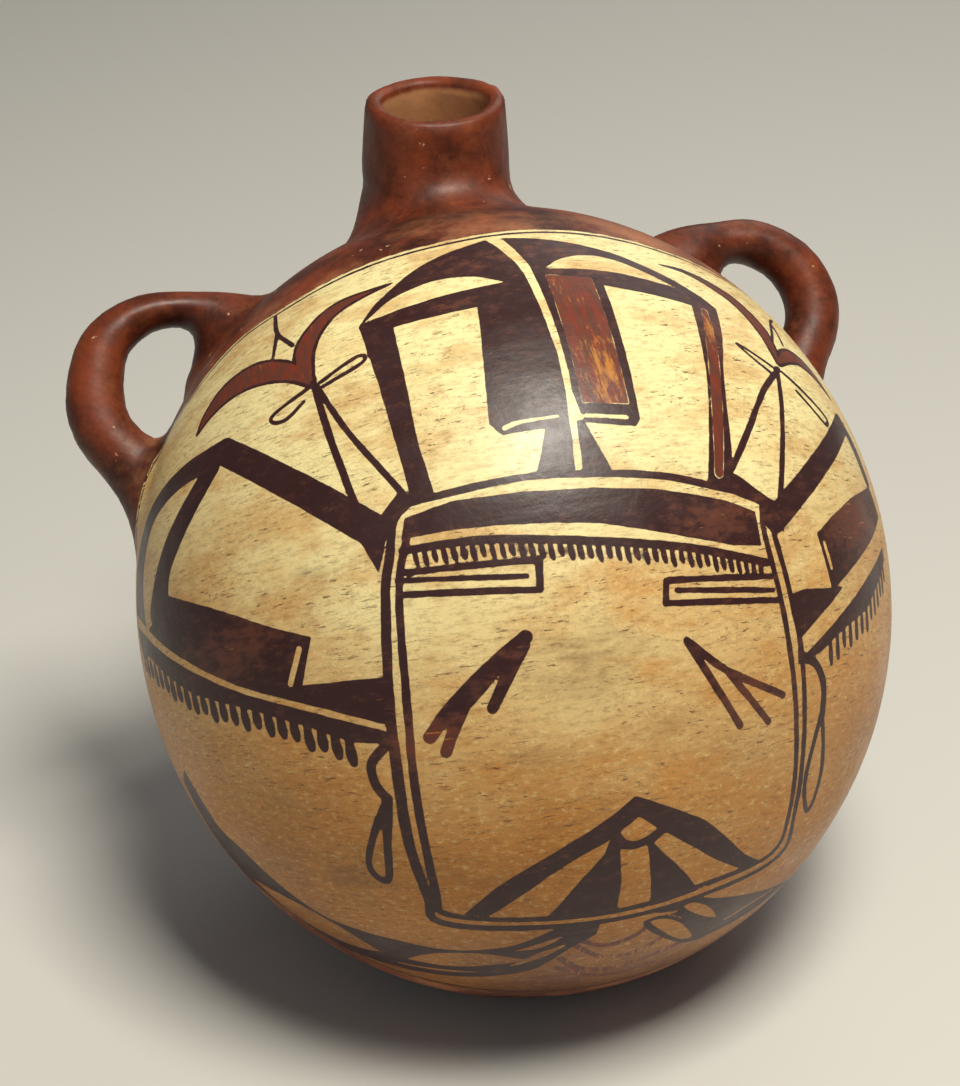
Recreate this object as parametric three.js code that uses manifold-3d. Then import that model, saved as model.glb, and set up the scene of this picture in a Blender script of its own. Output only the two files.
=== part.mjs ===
// Round pottery canteen in one fired piece: a swelling body, a short neck and two loop handles.
// Millimetres, +Z up, origin at the centre of the flat spot that it stands on.
// The painted front faces -Y and leans back; the neck stands upright on the rear shoulder.

import * as THREE from 'three';
import * as BufferGeometryUtils from 'three/addons/utils/BufferGeometryUtils.js';
import Module from 'manifold-3d';

const wasm = await Module();
wasm.setup();

// Body
const bodyHalfWidth = 125;        // half the greatest width, across the handles' sides
const bodyHalfHeight = 130.8;     // half the height of the painted disc, along its own slope
const frontDepth = 113;           // bulge of the painted side, out from the disc's plane
const backDepth = 112;            // bulge of the plain side, back from the disc's plane
const faceLean = 37.3;            // degrees the painted disc leans back from upright
const bodyWall = 6;
const standFlat = 8.5;            // height lost where the round underside is rubbed flat

// Neck
const neckSetback = 90.8;         // neck axis behind the body's middle
const neckSideways = -1.6;        // set by hand, a little to the left
const neckTop = 144;              // rim above the body's middle
const rimRadius = 23;
const neckWall = 5.4;
const neckSpread = 0.08;          // how much the neck widens per millimetre downward
const shoulderBlend = 20;         // softness of the join between neck and shoulder
const lipRound = 2.4;

// Handles, drawn in the plane just behind the widest line of the body
const handleSetback = 12;
const handleMiddle = 90;          // heights are along the painted disc's slope
const handleUneven = 2;           // the right handle sits this much above it, the left one below
const handleReachUneven = 2.8;    // the right handle also reaches out more, the left one less
const handleReach = 37;           // outermost centre line beyond the body's side
const handleTopRise = 24;         // upper arm above the loop's middle
const handleTopUneven = 2;        // the left handle's upper arm rises this much more, the right less
const handleUpperRoot = 16;       // ends of the loop above and below its middle
const handleLowerRoot = -44;
const handleBury = 9;             // how far each end runs into the wall's outer skin
const handleThin = 6.6;           // half thickness of the upper arm
const handleThinUneven = 0.8;     // the right handle's arm is this much thicker, the left thinner
const handleThick = 9.6;          // half thickness at the outside and below
const handleHalfWidth = 9.6;      // half width from front to back
const rootFlare = 3;

// Facets
const ringSegments = 64;
const bodyRows = 38;
const cavitySegments = 40;
const cavityRows = 24;
const handleSegments = 12;
const handleRows = 22;

const lean = THREE.MathUtils.degToRad(faceLean);

function toDisc(p) {
  return new THREE.Vector3(
    p.x,
    p.y * Math.cos(lean) - p.z * Math.sin(lean),
    p.y * Math.sin(lean) + p.z * Math.cos(lean));
}

function fromDisc(p) {
  return new THREE.Vector3(
    p.x,
    p.y * Math.cos(lean) + p.z * Math.sin(lean),
    -p.y * Math.sin(lean) + p.z * Math.cos(lean));
}

// Distance to the body's oval skin, moved inward by inset
function bodyDistance(p, inset) {
  const q = toDisc(p);
  const rx = bodyHalfWidth - inset;
  const ry = (q.y < 0 ? frontDepth : backDepth) - inset;
  const rz = bodyHalfHeight - inset;
  const k0 = Math.hypot(q.x / rx, q.y / ry, q.z / rz);
  const k1 = Math.hypot(q.x / (rx * rx), q.y / (ry * ry), q.z / (rz * rz));
  return k1 > 0 ? k0 * (k0 - 1) / k1 : -rx;
}

function neckRadius(z) {
  return rimRadius + neckSpread * (neckTop - z);
}

// Height at which the neck's axis leaves the oval body
function rootHeight() {
  let low = 0;
  let high = neckTop;
  for (let i = 0; i < 40; i += 1) {
    const middle = (low + high) / 2;
    if (bodyDistance(new THREE.Vector3(neckSideways, neckSetback, middle), 0) < 0) {
      low = middle;
    } else {
      high = middle;
    }
  }
  return low;
}

const neckRoot = rootHeight();

function neckDistance(p, inset) {
  const drop = Math.min(p.z - neckRoot, 0);
  const z = Math.max(p.z, neckRoot);
  return Math.hypot(p.x - neckSideways, p.y - neckSetback, drop) - (neckRadius(z) - inset);
}

function softJoin(a, b, blend) {
  const h = Math.max(blend - Math.abs(a - b), 0) / blend;
  return Math.min(a, b) - h * h * blend / 4;
}

function skinDistance(p, bodyInset, neckInset) {
  return softJoin(bodyDistance(p, bodyInset), neckDistance(p, neckInset), shoulderBlend);
}

// Point where a ray from the neck's axis inside the body meets the skin
const rayOrigin = new THREE.Vector3(neckSideways, neckSetback, neckTop * 0.15);

function skinPoint(turn, polar, bodyInset, neckInset) {
  const dir = new THREE.Vector3(
    Math.sin(polar) * Math.cos(turn), Math.sin(polar) * Math.sin(turn), Math.cos(polar));
  let near = 0;
  let far = 4 * bodyHalfHeight;
  for (let i = 0; i < 40; i += 1) {
    const middle = (near + far) / 2;
    const p = rayOrigin.clone().addScaledVector(dir, middle);
    if (skinDistance(p, bodyInset, neckInset) < 0) {
      near = middle;
    } else {
      far = middle;
    }
  }
  return rayOrigin.clone().addScaledVector(dir, near);
}

// Turns about the neck, spaced so that they fall evenly round the body
function evenTurns(count) {
  const turns = [];
  for (let i = 0; i < count; i += 1) {
    const around = 2 * Math.PI * i / count;
    const x = 1.1 * bodyHalfWidth * Math.cos(around);
    const y = 1.1 * bodyHalfWidth * Math.sin(around) - neckSetback;
    turns.push(Math.atan2(y, x));
  }
  return turns;
}

// Closed mesh from rings of points, with a single point at each end
function ringsToGeometry(start, rings, end) {
  const points = [start, ...rings.flat(), end];
  const count = rings[0].length;
  const last = points.length - 1;
  const index = [];
  for (let i = 0; i < count; i += 1) {
    const j = (i + 1) % count;
    index.push(0, 1 + i, 1 + j);
    for (let r = 0; r < rings.length - 1; r += 1) {
      const a = 1 + r * count;
      const b = a + count;
      index.push(a + i, b + i, b + j, a + i, b + j, a + j);
    }
    const e = 1 + (rings.length - 1) * count;
    index.push(e + i, last, e + j);
  }
  const geometry = new THREE.BufferGeometry();
  const flat = points.flatMap((p) => [p.x, p.y, p.z]);
  geometry.setAttribute('position', new THREE.Float32BufferAttribute(flat, 3));
  geometry.setIndex(index);
  return geometry;
}

function neckRing(turns, radius, z) {
  return turns.map((t) => new THREE.Vector3(
    neckSideways + radius * Math.cos(t), neckSetback + radius * Math.sin(t), z));
}

// Skin of the body and neck: plain rings up the neck, then rays round the body
function skinGeometry(segments, rows, bodyInset, neckInset, topRings, topZ) {
  const turns = evenTurns(segments);
  const rings = topRings.map(([radius, z]) => neckRing(turns, radius, z));
  const [lastRadius, lastZ] = topRings[topRings.length - 1];
  const startPolar = Math.atan2(lastRadius, lastZ - rayOrigin.z);
  for (let r = 1; r < rows; r += 1) {
    const polar = startPolar + (Math.PI - startPolar) * r / rows;
    rings.push(turns.map((t) => skinPoint(t, polar, bodyInset, neckInset)));
  }
  const top = new THREE.Vector3(neckSideways, neckSetback, topZ);
  const bottom = skinPoint(0, Math.PI, bodyInset, neckInset);
  return ringsToGeometry(top, rings, bottom);
}

function outerGeometry() {
  const rings = [
    [rimRadius - lipRound, neckTop],
    [rimRadius - lipRound * 0.3, neckTop - lipRound * 0.3],
    [rimRadius, neckTop - lipRound],
    [neckRadius(neckTop - 10), neckTop - 10],
    [neckRadius(neckTop - 17), neckTop - 17],
  ];
  return skinGeometry(ringSegments, bodyRows, 0, 0, rings, neckTop);
}

function cavityGeometry() {
  const bore = (z) => neckRadius(z) - neckWall;
  const above = neckTop + 6;
  const rings = [
    [bore(neckTop), above],
    [bore(neckTop), neckTop],
    [bore(neckTop - 17), neckTop - 17],
  ];
  return skinGeometry(cavitySegments, cavityRows, bodyWall, neckWall, rings, above);
}

// Half width of the body in the handles' plane at a height along the disc
function sideAt(height) {
  const share = 1 - (handleSetback / backDepth) ** 2 - (height / bodyHalfHeight) ** 2;
  return bodyHalfWidth * Math.sqrt(Math.max(share, 0));
}

// Loop handle swept along its centre line; side is -1 on the left and 1 on the right
function handleGeometry(side) {
  const middle = handleMiddle + side * handleUneven;
  const out = sideAt(middle) + handleReach + side * handleReachUneven;
  const top = middle + handleTopRise - side * handleTopUneven;
  const thin = handleThin + side * handleThinUneven;
  const upper = middle + handleUpperRoot;
  const lower = middle + handleLowerRoot;
  const line = new THREE.CatmullRomCurve3([
    [sideAt(upper) - handleBury, upper],
    [out - 48, top - 4],
    [out - 32, top - 0.5],
    [out - 18, top - 1.5],
    [out - 5.5, top - 10],
    [out, middle],
    [out - 1, middle - 11.5],
    [out - 7, middle - 22],
    [out - 11.5, middle - 31],
    [sideAt(lower) - handleBury, lower],
  ].map(([x, z]) => new THREE.Vector3(x, handleSetback, z)), false, 'centripetal');
  const rings = [];
  for (let r = 0; r <= handleRows; r += 1) {
    const t = r / handleRows;
    const centre = line.getPoint(t);
    const along = line.getTangent(t);
    const across = new THREE.Vector3(along.z, 0, -along.x);
    const fullness = THREE.MathUtils.smoothstep(t, 0.2, 0.6);
    const flare = rootFlare * (Math.max(1 - t / 0.22, 0) ** 2 + Math.max(1 - (1 - t) / 0.18, 0) ** 2);
    const thick = THREE.MathUtils.lerp(thin, handleThick, fullness) + flare;
    const ring = [];
    for (let i = 0; i < handleSegments; i += 1) {
      const turn = 2 * Math.PI * i / handleSegments;
      const p = centre.clone().addScaledVector(across, thick * Math.cos(turn));
      p.y += (handleHalfWidth + flare) * Math.sin(turn);
      ring.push(p);
    }
    rings.push(ring);
  }
  const place = (p) => fromDisc(new THREE.Vector3(side * p.x, p.y, p.z));
  const placed = rings.map((ring) => (side < 0 ? ring : [...ring].reverse()).map(place));
  return ringsToGeometry(place(line.getPoint(0)), placed, place(line.getPoint(1)));
}

function toSolid(geometry) {
  const plain = geometry.clone();
  plain.deleteAttribute('normal');
  plain.deleteAttribute('uv');
  const merged = BufferGeometryUtils.mergeVertices(plain, 1e-4);
  return new wasm.Manifold(new wasm.Mesh({
    numProp: 3,
    vertProperties: new Float32Array(merged.attributes.position.array),
    triVerts: new Uint32Array(merged.index.array),
  }));
}

function toGeometry(solid) {
  const mesh = solid.getMesh();
  const geometry = new THREE.BufferGeometry();
  geometry.setAttribute('position', new THREE.BufferAttribute(new Float32Array(mesh.vertProperties), 3));
  geometry.setIndex(new THREE.BufferAttribute(new Uint32Array(mesh.triVerts), 1));
  geometry.computeVertexNormals();
  return geometry;
}

// Lowest point of the leaning oval body, which fixes the flat spot
function lowestPoint() {
  const ry = backDepth * Math.sin(lean);
  const rz = bodyHalfHeight * Math.cos(lean);
  const reach = Math.hypot(ry, rz);
  return fromDisc(new THREE.Vector3(
    0, backDepth * ry / reach, -bodyHalfHeight * rz / reach));
}

const lowest = lowestPoint();
const standHeight = lowest.z + standFlat;

// Block that takes away everything under a level plane
function underBlock(level) {
  const size = 6 * bodyHalfHeight;
  const block = new THREE.BoxGeometry(size, size, size);
  block.translate(0, 0, level - size / 2);
  return toSolid(block);
}

const cavity = toSolid(cavityGeometry()).subtract(underBlock(standHeight + bodyWall));
const outside = toSolid(outerGeometry())
  .add(toSolid(handleGeometry(1)))
  .add(toSolid(handleGeometry(-1)))
  .subtract(underBlock(standHeight));
const vesselGeometry = toGeometry(outside.subtract(cavity));
vesselGeometry.translate(0, -lowest.y, -standHeight);

const vessel = new THREE.Mesh(vesselGeometry, new THREE.MeshStandardMaterial({
  color: 0xb98a4c, roughness: 0.45, metalness: 0,
}));
vessel.name = 'vessel';

const model = new THREE.Group();
model.add(vessel);

export default model;
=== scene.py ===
# %% [markdown]
# # A painted pottery canteen
#
# The vessel is one fired piece: a round body, a short neck and two loop handles.
# It stands on a small flat spot. Its painted front leans back, and its neck is upright.
#
# 1. The CAD model gives the size and the place of everything.
# 2. The skin is worked out again as a smooth distance, so the joins get soft fillets.
# 3. The picture is drawn as strokes and areas in a flat chart laid over the front.
# 4. Each vertex keeps its distance to the paint, and the material turns that into crisp edges.
#
# Lengths are in millimetres until the last step of each mesh, where they become metres.

# %% Setup
import math

import bmesh
import bpy
import numpy as np
from mathutils import Matrix, Vector


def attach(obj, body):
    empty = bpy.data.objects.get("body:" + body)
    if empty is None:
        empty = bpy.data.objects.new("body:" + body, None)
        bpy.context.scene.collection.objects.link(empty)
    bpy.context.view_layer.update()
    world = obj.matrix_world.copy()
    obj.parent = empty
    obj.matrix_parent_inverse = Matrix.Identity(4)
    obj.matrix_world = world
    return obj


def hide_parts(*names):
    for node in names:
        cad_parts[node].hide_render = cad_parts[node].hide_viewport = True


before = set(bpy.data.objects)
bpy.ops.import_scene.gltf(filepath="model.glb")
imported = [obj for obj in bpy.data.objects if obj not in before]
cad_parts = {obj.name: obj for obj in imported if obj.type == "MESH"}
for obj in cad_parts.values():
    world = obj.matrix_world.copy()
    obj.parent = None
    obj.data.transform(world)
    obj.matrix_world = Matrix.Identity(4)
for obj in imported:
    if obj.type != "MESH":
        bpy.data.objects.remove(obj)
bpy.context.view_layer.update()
MM = 0.001


def srgb(red, green, blue):
    """Linear colour from screen values of 0 to 255."""
    linear = []
    for value in (red, green, blue):
        share = value / 255
        linear.append(share / 12.92 if share < 0.04045 else ((share + 0.055) / 1.055) ** 2.4)
    return (*linear, 1.0)


# %% [markdown]
# ## Sizes
# These are the CAD model's driving sizes, so that both describe the same vessel.

# %% Sizes
BODY_CENTRE = np.array([0.0, 17.7, 115.7])
BODY_HALF_WIDTH = 125.0
BODY_HALF_HEIGHT = 130.8
FRONT_DEPTH = 113.0
BACK_DEPTH = 112.0
FACE_LEAN = math.radians(37.3)
BODY_WALL = 6.0

NECK_SETBACK = 90.8
NECK_SIDEWAYS = -1.6
NECK_TOP = 144.0
RIM_RADIUS = 23.0
NECK_WALL = 5.4
NECK_SPREAD = 0.08
NECK_FILLET = 20.0
RIM_TILT = 1.2          # the right of the rim is higher than the left, by hand
RIM_WAVE = 0.5
NECK_UNROUND = 0.45     # the neck was pinched round by hand
NECK_PINCHES = ((3, 1.0, 0.6), (5, 0.6, -0.8))     # pinches round the neck, share, turn
BORE_UNROUND = 1.6      # times as uneven as the outside
CREASE_DROP = 32.0      # a shallow crease runs round the neck this far below the rim
CREASE_REACH = 5.0
CREASE_DEPTH = 0.9
LIP_SLOPE = 0.16        # the rim's top slopes down toward the mouth

HANDLE_SETBACK = 12.0
HANDLE_MIDDLE = 90.0
HANDLE_UNEVEN = 2.0
HANDLE_REACH_UNEVEN = 2.8
HANDLE_REACH = 37.0
HANDLE_TOP_RISE = 24.0
HANDLE_TOP_UNEVEN = 2.0
HANDLE_UPPER_ROOT = 16.0
HANDLE_LOWER_ROOT = -44.0
HANDLE_BURY = 9.0
HANDLE_THIN = 6.6
HANDLE_THIN_UNEVEN = 0.8
HANDLE_THICK = 9.6
HANDLE_HALF_WIDTH = 9.6
HANDLE_SWELL = (0.2, 0.6)   # where the handle grows from thin to thick, as shares of its way
HANDLE_FILLET = 11.0
SMEAR_FILLET = 10.0
SMEARS = {
    # clay smeared into the corner under each upper root, from its thick to its thin end:
    # out from the middle, up the disc, radius
    -1: ((78.5, 102.0, 10.5), (88.0, 88.0, 5.5)),
    1: ((83.0, 105.0, 13.0), (90.0, 92.0, 6.0)),
}

DENT_PLACE = np.array([46.0, 84.0, 80.0])   # the shoulder is flatter right of the neck
DENT_REACH = 30.0
DENT_DEPTH = 2.8

LIP_ROUND = 3.0
STAND_ROUND = 1.5       # rounding of the edge round the flat spot
BORE_ROOM = 30.0        # how far the bore is followed above the rim

FAR = 200.0             # stands for the distance to a handle wherever it can't matter
HANDLE_NEAR_SIDE = 30.0
HANDLE_NEAR_DEPTH = 50.0
SEEN_DEPTH = 35.0       # the bore shows down to here below the rim
SLOPE_STEP = 0.05
LEAST_SLOPE = 0.2       # keeps a point from leaping where the distance is nearly level
HALVINGS = 40

# %% [markdown]
# ## The skin as a distance
# Each function gives how far a point lies outside a form, negative inside it.
# Soft minimums join the forms the way a thumb smears clay into a fillet.


# %% Distances
def to_disc(p):
    """Turns points about the body's middle so that the painted disc faces -Y."""
    cos, sin = math.cos(FACE_LEAN), math.sin(FACE_LEAN)
    return np.stack([p[:, 0], p[:, 1] * cos - p[:, 2] * sin, p[:, 1] * sin + p[:, 2] * cos], 1)


def from_disc(q):
    """The same turn undone."""
    cos, sin = math.cos(FACE_LEAN), math.sin(FACE_LEAN)
    return np.stack([q[:, 0], q[:, 1] * cos + q[:, 2] * sin, q[:, 2] * cos - q[:, 1] * sin], 1)


def length(*parts):
    return np.sqrt(sum(part * part for part in parts))


def oval_distance(q, inset):
    radii = np.stack([
        np.full(len(q), BODY_HALF_WIDTH - inset),
        np.where(q[:, 1] < 0, FRONT_DEPTH, BACK_DEPTH) - inset,
        np.full(len(q), BODY_HALF_HEIGHT - inset)], 1)
    k0 = np.sqrt(((q / radii) ** 2).sum(1))
    k1 = np.sqrt(((q / radii ** 2) ** 2).sum(1))
    return k0 * (k0 - 1) / np.maximum(k1, 1e-9)


def neck_root():
    """Height at which the neck's axis leaves the oval body."""
    low, high = 0.0, NECK_TOP
    for _ in range(HALVINGS):
        middle = (low + high) / 2
        point = np.array([[NECK_SIDEWAYS, NECK_SETBACK, middle]])
        if oval_distance(to_disc(point), 0)[0] < 0:
            low = middle
        else:
            high = middle
    return low


NECK_ROOT = neck_root()


def neck_turn(p):
    return np.arctan2(p[:, 1] - NECK_SETBACK, p[:, 0] - NECK_SIDEWAYS)


def neck_distance(p, inset):
    drop = np.minimum(p[:, 2] - NECK_ROOT, 0)
    radius = RIM_RADIUS + NECK_SPREAD * (NECK_TOP - np.maximum(p[:, 2], NECK_ROOT))
    turn = neck_turn(p)
    pinch = NECK_UNROUND * sum(
        share * np.cos(count * turn + start) for count, share, start in NECK_PINCHES)
    crease = CREASE_DEPTH * np.exp(-((NECK_TOP - CREASE_DROP - p[:, 2]) / CREASE_REACH) ** 2)
    shape = pinch - crease if inset == 0 else BORE_UNROUND * pinch
    return length(p[:, 0] - NECK_SIDEWAYS, p[:, 1] - NECK_SETBACK, drop) - (radius - inset + shape)


def soft_min(a, b, blend):
    """The smaller of two distances, with a fillet where they meet."""
    h = np.maximum(blend - np.abs(a - b), 0) / blend
    return np.minimum(a, b) - h * h * blend / 4


def soft_max(a, b, blend):
    return -soft_min(-a, -b, blend)


def smooth_line(points, per_span=8):
    """Catmull-Rom curve through the points, closed off at its ends."""
    points = np.asarray(points, float)
    ends = np.vstack([2 * points[0] - points[1], points, 2 * points[-1] - points[-2]])
    t = np.linspace(0, 1, per_span, endpoint=False)[:, None]
    spans = []
    for a, b, c, d in zip(ends, ends[1:], ends[2:], ends[3:]):
        spans.append(0.5 * (2 * b + (c - a) * t + (2 * a - 5 * b + 4 * c - d) * t ** 2
                            + (3 * b - a - 3 * c + d) * t ** 3))
    return np.vstack([*spans, points[-1:]])


def side_at(height):
    """Half width of the body in the handles' plane at a height along the disc."""
    share = 1 - (HANDLE_SETBACK / BACK_DEPTH) ** 2 - (height / BODY_HALF_HEIGHT) ** 2
    return BODY_HALF_WIDTH * math.sqrt(max(share, 0))


def handle_line(side):
    middle = HANDLE_MIDDLE + side * HANDLE_UNEVEN
    out = side_at(middle) + HANDLE_REACH + side * HANDLE_REACH_UNEVEN
    top = middle + HANDLE_TOP_RISE - side * HANDLE_TOP_UNEVEN
    upper = middle + HANDLE_UPPER_ROOT
    lower = middle + HANDLE_LOWER_ROOT
    return smooth_line([
        (side_at(upper) - HANDLE_BURY, upper), (out - 48, top - 4), (out - 32, top - 0.5),
        (out - 18, top - 1.5), (out - 5.5, top - 10), (out, middle), (out - 1, middle - 11.5),
        (out - 7, middle - 22), (out - 11.5, middle - 31),
        (side_at(lower) - HANDLE_BURY, lower)])


HANDLE_LINES = {side: handle_line(side) for side in (-1, 1)}


def to_segment(x, y, a, b):
    """Where a segment is nearest to each place, as a share of its length, and how far off."""
    dx, dy = b[0] - a[0], b[1] - a[1]
    t = np.clip(((x - a[0]) * dx + (y - a[1]) * dy) / max(dx * dx + dy * dy, 1e-9), 0, 1)
    return t, length(x - a[0] - t * dx, y - a[1] - t * dy)


def nearest_on_line(x, y, line):
    """Distance to a chain of points, and the share of the way along it."""
    best = np.full(len(x), np.inf)
    share = np.zeros(len(x))
    for i, (a, b) in enumerate(zip(line, line[1:])):
        t, gap = to_segment(x, y, a, b)
        closer = gap < best
        best = np.where(closer, gap, best)
        share = np.where(closer, (i + t) / (len(line) - 1), share)
    return best, share


def handle_distance(q, side):
    out = np.full(len(q), FAR)
    deep = q[:, 1] - HANDLE_SETBACK
    near = (side * q[:, 0] > HANDLE_NEAR_SIDE) & (q[:, 2] > 0) & (np.abs(deep) < HANDLE_NEAR_DEPTH)
    part = q[near]
    across, share = nearest_on_line(side * part[:, 0], part[:, 2], HANDLE_LINES[side])
    start, end = HANDLE_SWELL
    full = np.clip((share - start) / (end - start), 0, 1)
    full = full * full * (3 - 2 * full)
    thin = HANDLE_THIN + side * HANDLE_THIN_UNEVEN
    thick = thin + (HANDLE_THICK - thin) * full
    deep = deep[near]
    k0 = length(across / thick, deep / HANDLE_HALF_WIDTH)
    k1 = length(across / thick ** 2, deep / HANDLE_HALF_WIDTH ** 2)
    out[near] = k0 * (k0 - 1) / np.maximum(k1, 1e-6)
    return out


def smear_distance(q, side):
    """Distance to the clay smeared under a handle's upper root."""
    start, end = (np.array([side * out, HANDLE_SETBACK, up]) for out, up, _ in SMEARS[side])
    along = end - start
    share = np.clip((q - start) @ along / (along @ along), 0, 1)
    gap = np.sqrt(((q - start - share[:, None] * along) ** 2).sum(1))
    thick, slim = SMEARS[side][0][2], SMEARS[side][1][2]
    return gap - thick - (slim - thick) * share


def outer_distance(p, stand):
    """Distance to the whole vessel's outside, cut level at the rim and at the flat spot."""
    q = to_disc(p)
    skin = soft_min(oval_distance(q, 0), neck_distance(p, 0), NECK_FILLET)
    dent = ((p - DENT_PLACE) ** 2).sum(1) / DENT_REACH ** 2
    skin = skin + DENT_DEPTH * np.exp(-dent)
    for side in (-1, 1):
        skin = soft_min(skin, handle_distance(q, side), HANDLE_FILLET)
        skin = soft_min(skin, smear_distance(q, side), SMEAR_FILLET)
    turn = neck_turn(p)
    out = length(p[:, 0] - NECK_SIDEWAYS, p[:, 1] - NECK_SETBACK)
    rim = NECK_TOP - RIM_WAVE + RIM_TILT * (np.cos(turn) - 1) / 2 + RIM_WAVE * np.sin(2 * turn + 1)
    rim = rim - LIP_SLOPE * np.clip(RIM_RADIUS - out, 0, NECK_WALL)
    skin = soft_max(skin, p[:, 2] - rim, LIP_ROUND)
    return soft_max(skin, stand - p[:, 2], STAND_ROUND)


def inner_distance(p, stand):
    """Distance to the hollow inside, negative in it, with the bore open at the top."""
    bore = neck_distance(p, NECK_WALL)
    room = soft_min(oval_distance(to_disc(p), BODY_WALL), bore, NECK_FILLET)
    room = np.maximum(room, p[:, 2] - NECK_TOP - BORE_ROOM)
    return np.maximum(room, stand + BODY_WALL - p[:, 2])


def wall_distance(p, stand):
    return soft_max(outer_distance(p, stand), -inner_distance(p, stand), LIP_ROUND)


def settle(p, stand, steps=4):
    """Moves points along the slope of the distance until they lie on the wall's skin."""
    for _ in range(steps):
        here = wall_distance(p, stand)
        slope = np.stack([
            (wall_distance(p + step, stand) - here) / SLOPE_STEP
            for step in np.eye(3) * SLOPE_STEP], 1)
        p = p - slope * (here / np.maximum((slope ** 2).sum(1), LEAST_SLOPE))[:, None]
    return p


# %% [markdown]
# ## From the CAD solid to a fine mesh
# The CAD solid is remeshed evenly, its hidden inside is thinned out, and every vertex is
# settled on the smooth skin. Triangles near painted edges are then split twice.

# %% Mesh tools
REMESH_STEP = 3.4
BALL_COUNT = 4
BALL_SHARE = 0.62       # of the smear's radius
BALL_OUTWARD = np.array([0.25, 0.31])
RELAX_ROUNDS = 16
RELAX_REACH = 9.0       # from a smear, to the vertices that are evened out
INSIDE_KEEP = 0.1125    # share of the hidden inside's faces that stay
MERGE_REACH = 0.01


def applied(obj, label):
    """A plain mesh of the object with its modifiers worked in, and the object gone."""
    graph = bpy.context.evaluated_depsgraph_get()
    mesh = bpy.data.meshes.new_from_object(obj.evaluated_get(graph), depsgraph=graph)
    mesh.name = label
    bpy.data.objects.remove(obj)
    return mesh


def added(name, data):
    """A new object with the given mesh, light or camera, in the scene."""
    obj = bpy.data.objects.new(name, data)
    bpy.context.scene.collection.objects.link(obj)
    return obj


def mesh_arrays(mesh):
    mesh.calc_loop_triangles()
    points = np.empty(len(mesh.vertices) * 3)
    mesh.vertices.foreach_get("co", points)
    faces = np.empty(len(mesh.loop_triangles) * 3, int)
    mesh.loop_triangles.foreach_get("vertices", faces)
    return points.reshape(-1, 3) / MM, faces.reshape(-1, 3)


def add_smears(mesh):
    """Adds balls where clay is smeared on, so that the even mesh reaches round it."""
    shape = bmesh.new()
    shape.from_mesh(mesh)
    for side, (start, end) in SMEARS.items():
        for share in np.linspace(0, 1, BALL_COUNT):
            out, up, radius = (1 - share) * np.array(start) + share * np.array(end)
            out, up = np.array([out, up]) + radius * BALL_OUTWARD
            place = from_disc(np.array([[side * out, HANDLE_SETBACK, up]]))[0] + BODY_CENTRE
            bmesh.ops.create_icosphere(shape, subdivisions=3, radius=radius * BALL_SHARE * MM,
                                       matrix=Matrix.Translation(place * MM))
    shape.to_mesh(mesh)
    shape.free()


def remeshed(node):
    mesh = node.data.copy()
    mesh.transform(node.matrix_world)
    add_smears(mesh)
    obj = added("scratch", mesh)
    weld = obj.modifiers.new("weld", "WELD")
    weld.merge_threshold = MERGE_REACH * MM
    even = obj.modifiers.new("even", "REMESH")
    even.mode = "VOXEL"
    even.voxel_size = REMESH_STEP * MM
    return applied(obj, "even")


def thinned(mesh, stand):
    """Fewer faces on the inside, which shows only through the mouth."""
    points, _ = mesh_arrays(mesh)
    p = points - BODY_CENTRE
    hidden = (np.abs(inner_distance(p, stand)) < np.abs(outer_distance(p, stand))) & (
        p[:, 2] < NECK_TOP - SEEN_DEPTH)
    obj = added("scratch", mesh)
    group = obj.vertex_groups.new(name="hidden")
    group.add([int(i) for i in np.flatnonzero(hidden)], 1.0, "REPLACE")
    thin = obj.modifiers.new("thin", "DECIMATE")
    thin.ratio = 1 - hidden.mean() * (1 - INSIDE_KEEP)
    thin.vertex_group = "hidden"
    thin.vertex_group_factor = 10
    return applied(obj, "thin")


def relaxed(p, faces, chosen, stand):
    """Evens out the chosen vertices along the skin, so that no faces fold over."""
    one, two = np.vstack([faces, np.roll(faces, -1, 1)]).reshape(2, -1)
    count = np.bincount(one, minlength=len(p)) + np.bincount(two, minlength=len(p))
    for _ in range(RELAX_ROUNDS):
        middle = np.stack([
            (np.bincount(one, p[two, axis], len(p)) + np.bincount(two, p[one, axis], len(p)))
            / np.maximum(count, 1) for axis in range(3)], 1)
        p = p.copy()
        p[chosen] = settle(middle[chosen], stand, 1)
    return p


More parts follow.
